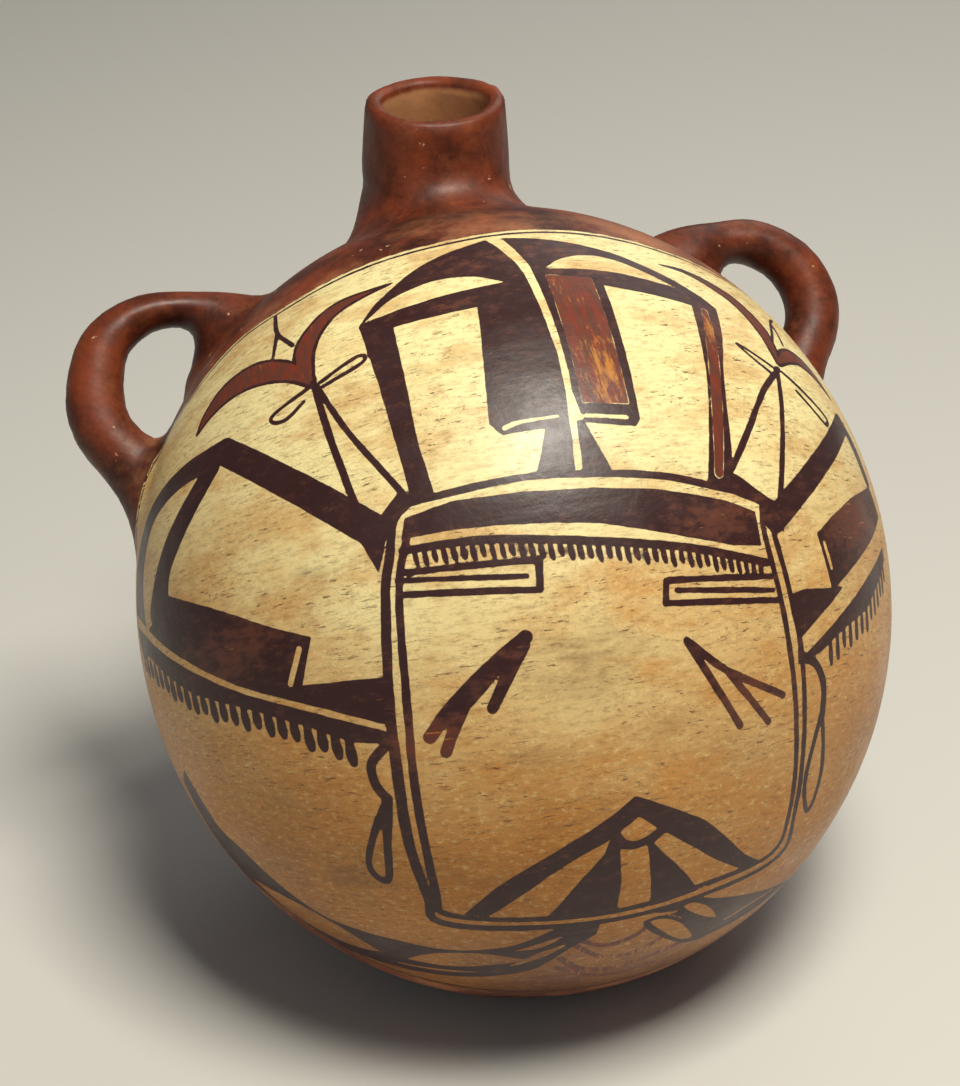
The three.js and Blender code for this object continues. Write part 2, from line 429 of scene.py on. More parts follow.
def refine(points, faces, chosen):
    """Splits the chosen triangles in four and their neighbours to match."""
    edges = np.sort(np.stack([faces, np.roll(faces, -1, 1)], 2), 2)
    flat = edges.reshape(-1, 2)
    unique, back = np.unique(flat, axis=0, return_inverse=True)
    back = back.reshape(-1, 3)
    cut = np.zeros(len(unique), bool)
    cut[back[chosen].ravel()] = True
    new_id = np.full(len(unique), -1)
    new_id[cut] = len(points) + np.arange(cut.sum())
    points = np.vstack([points, points[unique[cut]].mean(1)])
    mid = new_id[back]
    count = (mid >= 0).sum(1)
    made = [faces[count == 0]]
    for turn in range(3):
        f = np.roll(faces, -turn, 1)
        m = np.roll(mid, -turn, 1)
        one = (count == 1) & (m[:, 0] >= 0)
        made += [np.stack([f[one, 0], m[one, 0], f[one, 2]], 1),
                 np.stack([m[one, 0], f[one, 1], f[one, 2]], 1)]
        two = (count == 2) & (m[:, 2] < 0)
        made += [np.stack([f[two, 0], m[two, 0], f[two, 2]], 1),
                 np.stack([m[two, 0], m[two, 1], f[two, 2]], 1),
                 np.stack([m[two, 0], f[two, 1], m[two, 1]], 1)]
    all_cut = count == 3
    f, m = faces[all_cut], mid[all_cut]
    made += [np.stack([f[:, 0], m[:, 0], m[:, 2]], 1), np.stack([m[:, 0], f[:, 1], m[:, 1]], 1),
             np.stack([m[:, 2], m[:, 1], f[:, 2]], 1), m]
    return points, np.vstack(made)


# %% [markdown]
# ## The painter's chart
# The front is unrolled from its middle: u runs to the right and v upward, in millimetres
# measured roughly along the clay. Every stroke below is given in these two lengths.

# %% Chart
CHART_WIDE = 120.0      # millimetres of chart for one radian from the front's middle
CHART_HIGH = 122.0
BRUSH_REACH = 12.0      # distances to a stroke are worked out this far round it
BRUSH_FAR = 99.0


def chart(p):
    """Chart place of points on the body, and their angle from the front's middle."""
    q = to_disc(p)
    x = q[:, 0] / BODY_HALF_WIDTH
    z = q[:, 2] / BODY_HALF_HEIGHT
    y = q[:, 1] / np.where(q[:, 1] < 0, FRONT_DEPTH, BACK_DEPTH)
    angle = np.arctan2(length(x, z), -y)
    turn = np.arctan2(z, x)
    return CHART_WIDE * angle * np.cos(turn), CHART_HIGH * angle * np.sin(turn), angle, turn


class Paint:
    """Distances from every vertex to the painted shapes, negative inside them."""

    def __init__(self, u, v):
        self.u, self.v = u, v

    def around(self, points):
        """Which vertices lie within the brush's reach of the points."""
        low, high = points.min(0) - BRUSH_REACH, points.max(0) + BRUSH_REACH
        return (self.u > low[0]) & (self.u < high[0]) & (self.v > low[1]) & (self.v < high[1])

    def spread(self, near, values):
        """The values at the near vertices, and a large distance at all others."""
        field = np.full(len(self.u), BRUSH_FAR)
        field[near] = values
        return field

    def stroke(self, points, widths, curved=True):
        """A brush stroke; widths is one number, or one for each point."""
        rows = np.column_stack([np.asarray(points, float), np.broadcast_to(widths, len(points))])
        if curved and len(rows) > 2:
            rows = smooth_line(rows, 5)
        near = self.around(rows[:, :2])
        x, y = self.u[near], self.v[near]
        found = np.full(len(x), BRUSH_FAR)
        for a, b in zip(rows, rows[1:]):
            t, gap = to_segment(x, y, a, b)
            found = np.minimum(found, gap - (a[2] + t * (b[2] - a[2])) / 2)
        return self.spread(near, found)

    def area(self, points):
        """A filled area with the given corners."""
        points = np.asarray(points, float)
        near = self.around(points)
        x, y = self.u[near], self.v[near]
        inside = np.zeros(len(x), bool)
        gap = np.full(len(x), BRUSH_FAR)
        for a, b in zip(points, np.roll(points, -1, 0)):
            gap = np.minimum(gap, to_segment(x, y, a, b)[1])
            dx, dy = b - a
            if dy != 0:
                crosses = (a[1] > y) != (b[1] > y)
                inside ^= crosses & (x < a[0] + (y - a[1]) * dx / dy)
        return self.spread(near, np.where(inside, -gap, gap))


def bow(*points):
    """A smooth stretch of an outline through the given points."""
    return [tuple(point) for point in smooth_line(points, 5)]


def both(*fields):
    return np.minimum.reduce(fields)


def without(field, *gaps):
    return np.maximum(field, -both(*gaps))


def edge_of(field, width):
    """A band of the given width just inside a shape's edge."""
    return np.maximum(field, -(field + width))


# %% [markdown]
# ## The picture
# A headdress stands above a square masked face. Two wings with fringes spread from it,
# feathers curl beside it, and leaves fill the foot of the disc.

# %% Picture
CURL_OUTLINE = 1.3


def headdress(p):
    left = p.area([*bow((-57, 88), (-49, 97), (-30, 110), (-7, 117)),
                   *bow((-3, 106), (0, 94), (0, 60), (-2, 38)), (-22, 38), (-25, 42), (-24, 50),
                   (-19, 83), (-46, 83), (-46, 40), (-44, 24), (-51, 25), (-54, 60)])
    right = p.area([*bow((-3, 117), (14, 113), (34, 104), (52, 91), (61, 83)), (65, 78),
                    *bow((62, 69), (52, 46), (45, 18)), (35, 16), (46, 48), (54, 78), (24, 86),
                    (19, 37), (17, 35), (2, 38), (0, 60), (0, 100)])
    feet = p.area([(-9, 39), (-15, 25), (7, 22), (2, 39)])
    lens_left = p.area([*bow((-55, 89), (-44, 96), (-30, 99), (-17, 97), (-8, 92)), (-30, 91)])
    lens_right = p.area([*bow((7, 96), (13, 100), (23, 102), (34, 99), (52, 86)),
                         *bow((52, 86), (28, 93), (7, 96))])
    split = p.stroke([(-5, 119), (-1, 106), (1, 94), (1, 60), (-1, 40), (-3, 23)],
                     [5, 4, 3, 2, 2, 2])
    slits = both(p.stroke([(-21, 40), (-16, 41), (-5, 41)], [1.6, 1.2, 0.8]),
                 p.stroke([(3, 40), (15, 38)], 1.3))
    panel = p.area([(6, 93), (21, 90), (17, 42), (3, 44)])
    post = p.stroke([(58.5, 76), (54, 62), (46.5, 40), (40, 19)], [2.5, 4, 4, 3])
    dark = without(both(left, right, feet), lens_left, lens_right, split, slits, panel, post)
    return dark, both(panel, post)


def feathers(p):
    """Curled feathers on either side of the headdress, on thin stems."""
    curls = [
        p.stroke([(-76, 73), (-77, 86), (-71, 96), (-61, 102), (-43, 104)], [4, 9, 8, 6, 1]),
        p.stroke([(-76, 73), (-84, 81), (-97, 87), (-110, 87), (-120, 82), (-126, 76)],
                 [5, 9, 12, 11, 7, 2]),
        p.stroke([(84, 58), (85, 72), (80, 84), (71, 92), (62, 97), (52, 99)],
                 [4, 8, 7, 5, 3, 1]),
        p.stroke([(84, 58), (92, 62), (100, 63), (109, 59), (117, 50)], [4, 7, 7, 6, 2]),
    ]
    stems = [
        ([(-88, 117), (-87, 103), (-81, 92)], 1.8), ([(-87, 103), (-89, 91)], 1.8),
        ([(-73, 71), (-59, 76), (-58, 73), (-72, 69)], 1.5),
        ([(-75, 71), (-90, 66), (-91, 63), (-86, 62), (-79, 66)], 1.5),
        ([(-75, 72), (-72, 50), (-67, 25)], 2.5), ([(-74, 70), (-66, 50), (-53, 27)], 2),
        ([(89, 69), (98, 80), (104, 84)], 1.5), ([(95, 68), (98, 78)], 1.5),
        ([(81, 54), (66, 63), (70, 58), (76, 53)], 1.3),
        ([(83, 54), (92, 47), (101, 39), (99, 36), (96, 38), (87, 47)], 1.6),
        ([(82, 55), (68, 45), (55, 31), (45, 20)], 2.2), ([(81, 55), (70, 30), (61, 10)], 2.2),
    ]
    curl = both(*curls)
    lines = both(*[p.stroke(points, width) for points, width in stems])
    return both(edge_of(curl, CURL_OUTLINE), lines), curl


def wings(p):
    left = both(
        p.stroke([(-112, 61), (-64, 19)], 10, curved=False),
        p.stroke([(-112, 61), (-140, 61), (-162, 55), (-176, 38), (-180, 20), (-178, 5)],
                 [10, 9, 10, 14, 16, 14]),
        p.stroke([(-118, 57), (-140, 39), (-151, 27), (-157, 14)], [8, 10, 11, 16]),
        p.area([(-165, 10), (-148, 18), (-120, 6), (-101, -3), (-88, -8), (-94, -22), (-66, -23),
                (-67, -43), (-81, -41), (-95, -35), (-111, -29), (-142, -20), (-160, -10),
                (-186, 6)]),
        p.area([(-74, 27), (-62, 21), (-55, 27), (-45, 26), (-52, 24), (-58, 20), (-64, 6),
                (-67, 14)]))
    left = without(
        left,
        p.stroke([(-192, 20), (-173, 9), (-152, -4), (-122, -19), (-91, -30), (-69, -38)],
                 [5, 4, 3, 2, 2, 2]),
        p.stroke([(-93, -11), (-98, -21)], 2))
    block = p.area([(75, -1), (85, 4), (100, 10), (125, 16), (130, 5), (110, -5), (79, -19)])
    right = both(
        p.stroke([(57, 4), (85, 21), (115, 39)], 8),
        p.stroke([(116, 41), (121, 30), (124, 18)], [5, 7, 6]),
        block,
        p.area([(58, -18), (66, -17), (79, -18), (86, -18), (62, -31)]),
        p.area([(60, -34), (64, -36), (80, -28), (100, -18), (126, -6), (126, -11), (115, -18),
                (100, -27), (85, -31), (70, -37), (60, -39)]),
        p.area([(35, 16), (45, 19), (56, 11), (62, 8), (60, 0), (54, 8)]))
    right = without(right, p.stroke([(78, -4), (80, -12)], 1.2))
    return both(left, right)


TOOTH_UNEVEN = 0.15     # share by which the teeth differ in length, in a beat along the row
TOOTH_BEAT = 2.4
TOOTH_WIDTHS = np.array([0.8, 1.2, 0.9])    # at the root, at its thickest and at the tip
FRINGES = {
    # name: (line of the roots, pitch, tooth width, tooth length)
    "left": ([(-184, 0), (-165, -9), (-142, -20), (-111, -29), (-95, -35), (-78, -43)],
             4.9, 3.1, 6),
    "right": ([(74, -36), (85, -31), (100, -27), (115, -18), (124, -11)], 4.3, 2.1, 6),
    "brow": ([(-54, 10), (-35, 9), (-16, 6), (0, 3), (25, -2), (49, -8)], 2.7, 1.5, 3.8),
}


def fringe(p, line, pitch, width, reach):
    """Short strokes hanging from a line at an even pitch."""
    line = smooth_line(line, 12)
    steps = np.hypot(*np.diff(line, axis=0).T)
    along = np.concatenate([[0], np.cumsum(steps)])
    places = np.arange(pitch / 2, along[-1], pitch)
    teeth = []
    for i, place in enumerate(places):
        x = np.interp(place, along, line[:, 0])
        y = np.interp(place, along, line[:, 1])
        longer = reach * (1 + TOOTH_UNEVEN * math.sin(TOOTH_BEAT * i))
        teeth.append(p.stroke([(x, y + 1), (x + 0.1, y - longer * 0.6), (x + 0.3, y - longer)],
                              width * TOOTH_WIDTHS))
    return both(*teeth)


def mask(p):
    """The square masked face with its double frame."""
    outer = [(-52, 24), (-20, 25), (0, 23), (20, 20), (38, 15), (53, 10), (56, -2), (59, -20),
             (62, -40), (64, -88), (62, -107), (30, -112), (0, -114), (-30, -113), (-63, -109),
             (-66, -97), (-69, -75), (-68.5, -50), (-67, -28), (-63, 0), (-60, 10), (-57, 20),
             (-52, 24)]
    inner = [(53, 8), (52, 0), (55, -22), (59, -55), (61, -88), (57, -104), (28, -107),
             (0, -110), (-30, -109), (-60, -105), (-63, -95), (-64, -60), (-62, -30), (-59, 0),
             (-54, 15)]
    brow = p.area([(-54, 20), (-40, 22), (-20, 21), (0, 19), (20, 16), (40, 11), (50, 7),
                   (50, -3), (40, -2), (25, 2), (0, 9), (-20, 12), (-40, 14), (-56, 14)])
    lines = [
        (outer, [2.2] * 13 + [2.6, 3, 3.4, 3.6, 3.6, 3.2, 3, 2.8, 2.6, 2.4]),
        (inner, [2.2] * 9 + [2.4, 2.8, 2.8, 2.6, 2.4, 2.4]),
        ([(-56, 11), (-35, 10), (-16, 7), (0, 4), (25, -1), (51, -8)], 2.4),
        ([(-58, 5), (-20, 2)], 2), ([(-59, 3), (-23, -2)], 1.6), ([(-59, -1), (-21, -6)], 2),
        ([(-19, 2), (-20, -6)], 2.2),
        ([(17, -9), (52, -12)], 1.9), ([(19, -12), (52, -16)], 1.7), ([(15, -15), (53, -19)], 1.9),
        ([(16, -9), (15, -15)], 1.9),
    ]
    dark = both(brow, *[p.stroke(points, width) for points, width in lines])
    cheeks = both(
        p.stroke([(-26, -18), (-35, -24), (-45, -32), (-52, -37), (-57, -42)],
                 [4, 5, 6.2, 4.6, 4]),
        p.stroke([(-27, -20), (-32, -27), (-38, -36)], [4, 3.8, 3.3]),
        p.stroke([(-46, -34), (-50, -41), (-53, -47)], [4.4, 3.8, 3.5]),
        p.stroke([(20, -26), (28, -40), (36, -53)], 2.4), p.stroke([(31, -35), (47, -54)], 2.2),
        p.stroke([(20, -26), (32, -36), (53, -47)], 2.3))
    return both(dark, cheeks)


def chin(p):
    """A dark peak below the face, with cream left inside it."""
    peak = p.area([*bow((-55, -105), (-42, -93), (-27, -84), (-10, -75), (1, -68)),
                   *bow((9, -72), (23, -80), (31, -87), (43, -99), (53, -106)),
                   *bow((43, -107), (27, -109), (8, -111), (-10, -111), (-43, -107))])
    cream = both(
        p.area([(-48, -107), *bow((-45, -105), (-23, -89), (-7, -81)),
                *bow((-9, -86), (-17, -95), (-27, -108))]),
        p.area([(-4, -79), (2, -75), (8, -80), *bow((5, -82), (1, -83), (-2, -82))]),
        p.area([*bow((-4, -85), (1, -86), (5, -85)), *bow((7, -99), (8, -111)), (-4, -111),
                (-3, -97)]),
        p.area([(7, -85), (11, -82), *bow((20, -89), (30, -97), (42, -105)), (26, -109),
                *bow((19, -99), (13, -92))]))
    return without(peak, cream)


def tassels(p):
    lines = [
        ([(-69, -42), (-76, -48), (-76, -55), (-73, -60)], 3.2),
        ([(-73, -60), (-80, -72), (-84, -83), (-82, -89), (-78, -89), (-76, -75), (-73, -60)],
         [3.4, 2.6, 2.4, 2.4, 2.6, 3, 3.4]),
        ([(62, -37), (68, -40), (72, -47), (72, -57)], 3),
        ([(71, -57), (67, -72), (67, -82), (71, -91), (74, -88), (75, -75), (72, -57)], 2.1),
    ]
    return both(*[p.stroke(points, width) for points, width in lines])


def foot_leaves(p):
    """Crescents, leaves and arcs that close the disc below the mask."""
    sweep = p.area([*bow((-167, -52), (-160, -66), (-154, -78), (-143, -86), (-128, -101),
                         (-112, -113), (-96, -118), (-80, -121), (-65, -124), (-51, -124),
                         (-37, -121), (-24, -114)), (-9, -114), (-10, -120),
                    *bow((-19, -126), (-26, -133), (-33, -139), (-52, -144), (-68, -145),
                         (-85, -144), (-106, -141), (-126, -134), (-146, -120), (-160, -104),
                         (-170, -84), (-176, -60))])
    gaps = both(
        p.area([*bow((-148, -107), (-135, -108), (-121, -111), (-105, -119), (-90, -132)),
                *bow((-90, -132), (-102, -133), (-122, -128), (-138, -118), (-148, -107))]),
        p.area([*bow((-80, -134), (-70, -128), (-58, -126), (-47, -127), (-34, -131)),
                *bow((-34, -131), (-42, -133), (-61, -136), (-80, -134))]),
        p.stroke([(-38, -125), (-30, -123), (-22, -119)], [0.6, 2.4, 0.6]),
        p.stroke([(-40, -135), (-30, -129), (-21, -124)], [0.8, 3.2, 0.8]),
        p.stroke([(-84, -139), (-68, -140), (-50, -140)], [0.6, 1.6, 0.6]))
    loop = p.area(bow((6, -118), (13, -117), (21, -121), (28, -129), (33, -140), (26, -138),
                      (16, -130), (9, -123), (6, -118)))
    corner = p.area([(9, -114), (28, -113), *bow((34, -116), (50, -121), (66, -126), (86, -132)),
                     *bow((86, -136), (58, -139), (45, -140), (33, -141)), (28, -129), (21, -120)])
    corner = without(corner,
                     p.area([*bow((21, -115), (26, -115), (33, -120), (41, -130)),
                             *bow((41, -130), (33, -125), (25, -119), (21, -115))]),
                     p.stroke([(45, -133), (58, -130), (70, -129)], 1.4),
                     p.stroke([(12, -116), (19, -117)], 1))
    rims = without(loop, p.area(bow((9, -119), (14, -119), (21, -123), (27, -130), (31, -137),
                                    (25, -135), (16, -127), (9, -119))))
    arcs = [
        p.stroke([(-16, -122), (-8, -127), (-1, -127), (6, -124), (9, -120)], 2.4),
        p.stroke([(-17, -125), (-11, -131), (-5, -135), (5, -136), (12, -133), (17, -129)], 2.4),
        p.stroke([(-22, -132), (-14, -141), (-1, -145), (10, -143), (20, -140), (27, -138)], 3),
        p.stroke([(-23, -138), (-9, -148), (4, -151), (18, -149)], 2.4)]
    dark = both(without(sweep, gaps), corner, rims)
    return dark, both(*arcs)


FRAME_ANGLES = {
    # degrees round the disc from its right side: degrees from the front's middle
    -180: 96, -150: 92, -138: 86, -125: 83, -105: 78, -76: 76, -60: 79, -45: 85, -30: 92,
    0: 94, 30: 84, 44: 67, 57: 60,
    70: 57, 90: 56, 105: 58, 124: 66, 133: 74, 142: 80, 155: 90, 180: 96,
}
FRAME_LINE = 1.4
CREAM_RIM = 2.4         # cream left outside the frame line, up to the slip
RIM_LINE = 0.6
PAINT_CLEAR = 1.0       # the picture ends where a handle lifts the skin off the oval this far
PAINT_STEEP = 3.0
LIP_SLIP = 2.5          # the slip runs this far over the lip into the mouth


def frame_distance(angle, turn):
    """Distance beyond the line that closes the picture."""
    line = np.radians(smooth_line(list(FRAME_ANGLES.items())))
    limit = np.interp(turn, line[:, 0], line[:, 1])
    return (angle - limit) * CHART_HIGH


SMUDGES = [
    # u, v, half width, half height, strength
    (-12, -27, 17, 9, 0.9), (-30, -52, 14, 5, 0.5), (-96, -88, 40, 12, 0.8),
    (-112, -62, 22, 8, 0.4), (12, -48, 12, 6, 0.4), (36, -60, 14, 7, 0.35), (-44, 12, 8, 4, 0.2),
    (-34, -92, 30, 9, 0.35), (96, -66, 20, 12, 0.4), (-84, 10, 7, 3, 0.5), (-20, -74, 22, 9, 0.4),
]
WORN_PLACES = [
    # dark paint that has rubbed through to a browner coat
    (36, 6, 16, 6, 1.0), (-27, 86, 9, 2, 0.9), (58, 66, 8, 13, 0.8), (100, 3, 22, 11, 1.4),
    (-110, -3, 18, 6, 0.5), (12, 106, 20, 6, 0.5), (-20, 104, 18, 6, 0.4), (-128, -9, 30, 8, 0.5),
    (44, -80, 20, 8, 0.3), (-120, -12, 8, 5, 0.5), (20, 94, 16, 3, 0.5),
    (-57, -44, 12, 8, 1.7), (38, -44, 22, 16, 0.9), (-34, -28, 14, 12, 0.3),
]
THIN_PLACES = [
    # red paint brushed thin over the cream
    (13, 54, 7, 14, 0.9), (8, 86, 5, 8, 0.4), (56, 68, 3, 8, 0.9), (-90, 90, 8, 5, 0.3),
    (4, -138, 30, 16, 0.7),
]


def soft_spots(u, v, places):
    total = np.zeros(len(u))
    for at_u, at_v, wide, high, strength in places:
        total += strength * np.exp(-((u - at_u) / wide) ** 2 - ((v - at_v) / high) ** 2)
    return total


def paint_fields(p, stand):
    """Each vertex's distances to the paints, and its place in the chart."""
    u, v, angle, turn = chart(p)
    brush = Paint(u, v)
    edge = frame_distance(angle, turn)
    crown_dark, crown_red = headdress(brush)
    feather_dark, feather_red = feathers(brush)
    wing_dark = wings(brush)
    mask_dark = mask(brush)
    foot_dark, foot_red = foot_leaves(brush)
    teeth = both(*[fringe(brush, *rule) for rule in FRINGES.values()])
    dark = both(crown_dark, feather_dark, wing_dark, mask_dark, chin(brush), tassels(brush),
                foot_dark, teeth)
    red = both(crown_red, feather_red, foot_red)
    edge = edge + PAINT_STEEP * np.maximum(oval_distance(to_disc(p), 0) - PAINT_CLEAR, 0)
    line = both(np.abs(edge) - FRAME_LINE / 2, np.abs(edge - CREAM_RIM) - RIM_LINE / 2)
    return {
        "dark": np.maximum(dark, edge),
        "red": np.maximum(red, edge),
        "slip": CREAM_RIM - edge,
        "frame_line": line,
        "inside": np.abs(inner_distance(p, stand)) - np.abs(outer_distance(p, stand)) + LIP_SLIP,
        "chart_u": u,
        "chart_v": v,
        "smoke": soft_spots(u, v, SMUDGES),
        "worn": soft_spots(u, v, WORN_PLACES),
        "thin": soft_spots(u, v, THIN_PLACES),
    }


# %% [markdown]
# ## Finish of the clay
# The vessel has one material. Its cream ground, its slip and its paints are each worked out
# by a function of their own, and the distances kept on the vertices decide which one shows.

# %% Node helpers
def feed(tree, socket, value):
    """Links the input to another node's output, or sets its plain value."""
    if isinstance(value, bpy.types.NodeSocket):
        tree.links.new(value, socket)
    else:
        socket.default_value = value


def put(tree, kind, settings=(), **values):
    """A node with its settings and inputs; _0 and _1 stand for inputs by their number."""
    made = tree.nodes.new(kind)
    for name, value in dict(settings).items():
        setattr(made, name, value)
    for name, value in values.items():
        feed(tree, made.inputs[int(name[1:])] if name[1:].isdigit() else made.inputs[name], value)
    return made


def maths(tree, operation, a, b=0.0):
    return put(tree, "ShaderNodeMath", {"operation": operation}, _0=a, _1=b).outputs[0]


def mixed(tree, share, a, b):
    """Colour a where the share is 0, colour b where it is 1."""
    return put(tree, "ShaderNodeMix", {"data_type": "RGBA"}, _0=share, _6=a, _7=b).outputs[2]


def ramp(tree, value, low, high, to_low=0.0, to_high=1.0):
    """0 at the low value and 1 at the high one, with a soft start and end."""
    return put(tree, "ShaderNodeMapRange", {"interpolation_type": "SMOOTHSTEP"}, _0=value,
               _1=low, _2=high, _3=to_low, _4=to_high).outputs[0]


def noise(tree, vector, scale, detail, rough, stretch=None):
    if stretch:
        vector = put(tree, "ShaderNodeMapping", Vector=vector, Scale=stretch).outputs[0]
    return put(tree, "ShaderNodeTexNoise", Vector=vector, Scale=scale, Detail=detail,
               Roughness=rough).outputs[0]


def attribute(tree, name):
    return put(tree, "ShaderNodeAttribute", {"attribute_name": name}).outputs[2]


# %% Clay finish
CREAM_PALE = srgb(241, 225, 165)
CREAM_DEEP = srgb(190, 124, 48)
# painted shade: the cream darkened toward the foot
CREAM_PAINTED_SHADE = srgb(112, 58, 24)
CREAM_LIGHT = srgb(248, 234, 166)
CREAM_RUST = srgb(208, 138, 54)
CREAM_FLECK = srgb(98, 62, 34)
SMOKE = srgb(102, 66, 32)
SLIP_RED = srgb(126, 56, 28)
SLIP_DARK = srgb(54, 21, 11)
# pale slip near the front: partly real rubbing and partly painted sheen
SLIP_RUBBED_SHEEN = srgb(186, 126, 88)
SLIP_DUST = srgb(150, 86, 48)
SLIP_CHIP = srgb(206, 160, 124)
PAINT_DARK = srgb(54, 30, 30)
PAINT_BROWN = srgb(92, 54, 42)
PAINT_RED = srgb(126, 48, 30)
MOUTH_DARK = srgb(140, 92, 58)
# painted shade under the body
BELOW_PAINTED_SHADE = srgb(80, 38, 18)
MOUTH_CLAY = srgb(214, 152, 104)


STREAKS = {
    # noise drawn out along the chart, name: (stretch along u and along v, detail, roughness,
    # value at which it starts to show, value at which it is full)
    "wash": (0.025, 0.06, 5, 0.65, 0.44, 0.64),
    "grain": (0.2, 0.65, 8, 0.8, 0.46, 0.66),
    "rust": (0.018, 0.03, 4, 0.6, 0.52, 0.7),
    "bright": (0.3, 0.5, 7, 0.8, 0.5, 0.68),
    "patches": (0.03, 0.05, 3, 0.6, 0.34, 0.56),
    "flecks": (0.17, 0.95, 5, 0.72, 0.585, 0.625),
    "cracks": (0.07, 0.4, 6, 0.75, 0.615, 0.645),
    "haze": (0.06, 0.16, 5, 0.7, 0.3, 0.7),
    "red_brush": (0.5, 0.09, 5, 0.7, 0.3, 0.62),
}
SPECKS = {
    # noise in space, name: (scale, detail, roughness, value where it starts, and is full)
    "mottle": (26, 8, 0.74, 0.34, 0.66),
    "dust": (90, 7, 0.75, 0.5, 0.72),
    # pale patches near the front: partly real rubbing and partly painted sheen
    "rubbed_sheen": (30, 5, 0.65, 0.4, 0.68),
    "chips": (210, 3, 0.6, 0.69, 0.73),
}
PLAIN_NOISES = {
    # name: (scale, detail, roughness)
    "drift": (11, 4, 0.6),
    "shake": (150, 3, 0.6),
    "mouth": (60, 6, 0.7),
    "pits": (380, 5, 0.6),
    "gloss": (48, 6, 0.7),
}
STAINS = [("wash", 0.5, CREAM_DEEP), ("grain", 0.42, SMOKE), ("rust", 0.35, CREAM_RUST),
          ("bright", 0.4, CREAM_LIGHT)]
MARKS = [("flecks", 0.9, CREAM_FLECK), ("cracks", 0.55, CREAM_FLECK)]
CRAZING_BEND = (0.3, 3.0)       # scale and detail of the noise that bends the crazing
CRAZING_SCALE = 0.4
CRAZING_WIDTH = 0.03
CRAZING_STRENGTH = 0.3
SMOKE_STRENGTH = 0.75

LEVEL_DRIFT = 0.12              # metres by which the shading by height wanders
# the deep cream by height is partly the clay's own tone and partly painted shade; the low cream is
# painted shade toward the foot
DEEP_AND_SHADE_LEVELS = (0.22, 0.08)      # heights in metres between which a colour comes in
PAINTED_SHADE_LEVELS = (0.10, 0.0)
# heights between which painted shade darkens the clay under the body, and how strongly
BELOW_SHADE_LEVELS = (0.08, 0.0)
BELOW_SHADE_STRENGTH = 0.8

DUST_STRENGTH = 0.35
# the pale slip near the front is partly real rubbing and partly painted sheen
RUBBED_SHEEN_STRENGTH = 0.6
RUBBED_SHEEN_REACH = (-42.0, -2.0)    # distance beyond the frame line where rubbing fades out
CHIP_STRENGTH = 0.7

WEAR = {
    # noise of the paints' wear, name: (stretches, detail, attribute that adds to it, gain)
    "thin": ((0.5, 0.12), 5, "thin", 0.25),
    "worn": ((0.16, 0.3), 6, "worn", 0.22),
    "scratched": ((0.12, 0.8), 5, "worn", 0.05),
}
WEAR_ROUGH = 0.75
THIN_RED = (0.6, 0.8, 0.85)     # wear where it starts, where it is full, and its strength
BROWN_WEAR = (0.5, 0.75, 1.0)
RED_WEAR = (0.72, 0.95, 0.5)
SCRATCHES = (0.66, 0.71, 0.6)

EDGE_SHAKE = 0.8                # millimetres by which the brush's edges wander
PAINT_SOFT = 0.14
SLIP_SOFT = 0.3
MOUTH_SOFT = 1.2
SPECULAR = 0.36
GLOSS_NOISE = (0.3, 0.7)
GLOSS = (0.29, 0.46)            # roughness where the noise is low and where it is high
SLIP_DULLER = 0.1
MOUTH_DULLER = 0.4
PITS_SHARE = 0.5
TOOL_MARKS = (3, 0.5, (0.02, 0.14, 1))      # detail, roughness, stretch along the chart
RELIEF_STRENGTH = 0.35
RELIEF_DEPTH = 0.0006


def times(tree, a, b):
    return maths(tree, "MULTIPLY", a, b)


def streaks(tree, sheet, name):
    wide, high, detail, rough, starts, full = STREAKS[name]
    return ramp(tree, noise(tree, sheet, 1, detail, rough, (wide, high, 1)), starts, full)


def specks(tree, place, name):
    scale, detail, rough, starts, full = SPECKS[name]
    return ramp(tree, noise(tree, place, scale, detail, rough), starts, full)


def crazing(tree, sheet):
    """A fine net of cracks, with bent lines."""
    scale, detail = CRAZING_BEND
    bend = put(tree, "ShaderNodeTexNoise", Vector=sheet, Scale=scale, Detail=detail)
    bent = put(tree, "ShaderNodeVectorMath", {"operation": "ADD"}, _0=sheet,
               _1=bend.outputs["Color"]).outputs[0]
    net = put(tree, "ShaderNodeTexVoronoi", {"feature": "DISTANCE_TO_EDGE"}, Vector=bent,
              Scale=CRAZING_SCALE).outputs["Distance"]
    return ramp(tree, net, CRAZING_WIDTH, 0.0)


